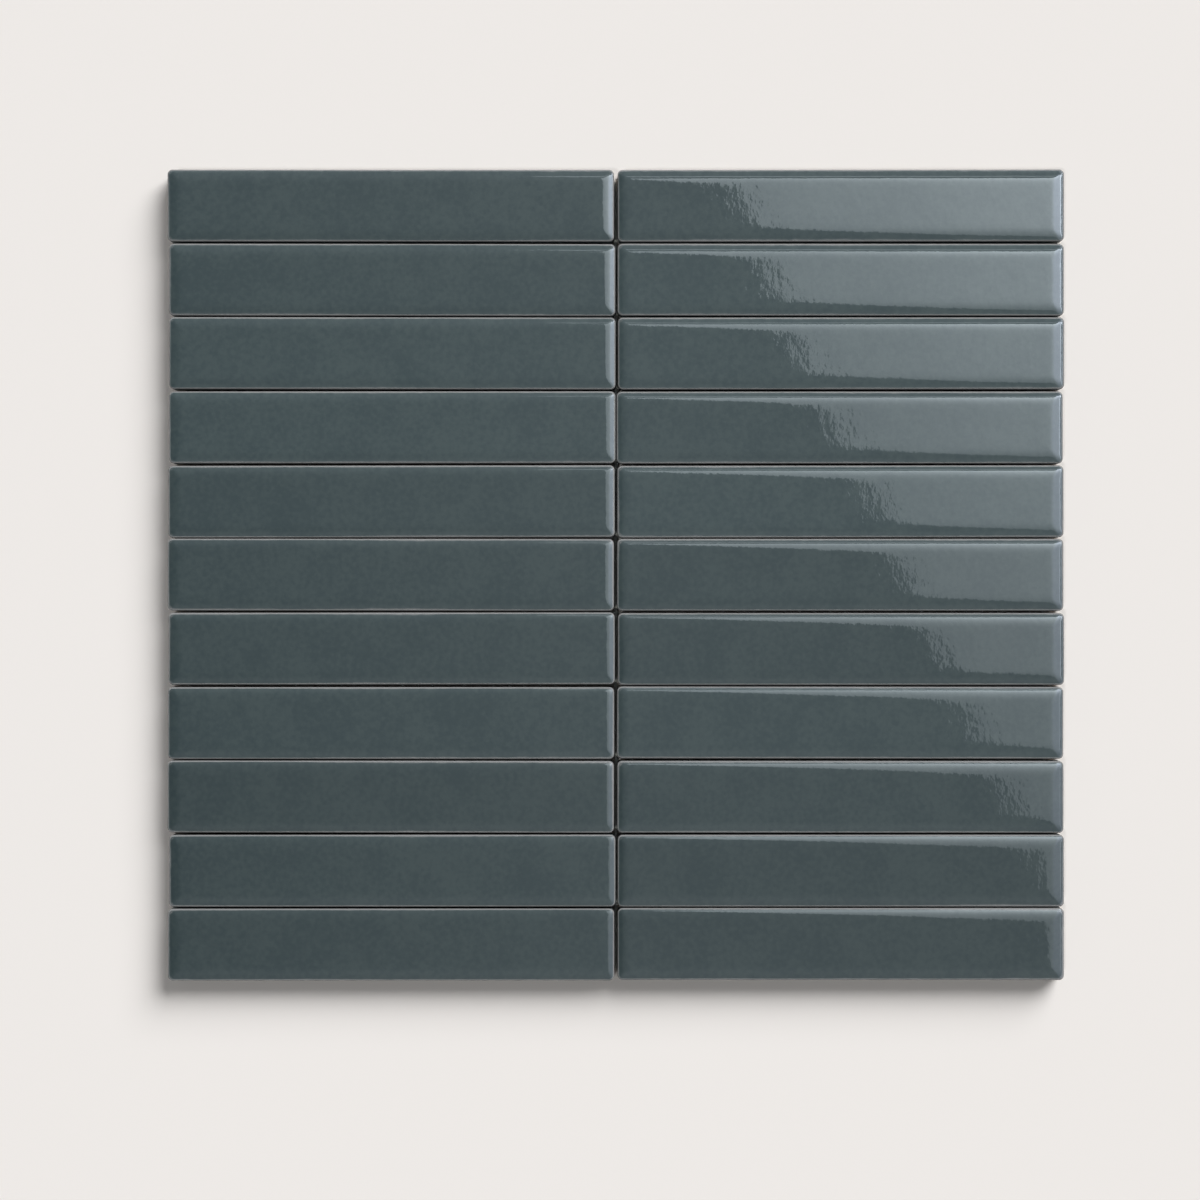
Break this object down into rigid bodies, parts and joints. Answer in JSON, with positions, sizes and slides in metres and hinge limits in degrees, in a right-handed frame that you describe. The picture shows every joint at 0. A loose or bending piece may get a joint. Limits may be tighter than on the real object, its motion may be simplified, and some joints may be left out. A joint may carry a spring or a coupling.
{
  "type": "mosaic tile sheet",
  "caption": "Mesh-backed sheet of long glazed ceramic finger tiles stacked in a straight grid with narrow open joints, bedded in adhesive to clad a wall or floor.",
  "frame": {"origin": "under the middle of the sheet, on the surface that its net lies on", "axes": "+X along the tiles, +Y up the rows, +Z out of the glazed faces"},
  "size_m": [0.2915, 0.2637, 0.0085],
  "materials": {
    "glazed_tile": "gloss",
    "fibreglass_net": "matte"
  },
  "bodies": {
    "root": {"tile_left_01": "glazed_tile", "tile_left_02": "glazed_tile", "tile_left_03": "glazed_tile", "tile_left_04": "glazed_tile", "tile_left_05": "glazed_tile", "tile_left_06": "glazed_tile", "tile_left_07": "glazed_tile", "tile_left_08": "glazed_tile", "tile_left_09": "glazed_tile", "tile_left_10": "glazed_tile", "tile_left_11": "glazed_tile", "tile_right_01": "glazed_tile", "tile_right_02": "glazed_tile", "tile_right_03": "glazed_tile", "tile_right_04": "glazed_tile", "tile_right_05": "glazed_tile", "tile_right_06": "glazed_tile", "tile_right_07": "glazed_tile", "tile_right_08": "glazed_tile", "tile_right_09": "glazed_tile", "tile_right_10": "glazed_tile", "tile_right_11": "glazed_tile", "net_warp": "fibreglass_net", "net_weft": "fibreglass_net"}
  },
  "joints": []
}
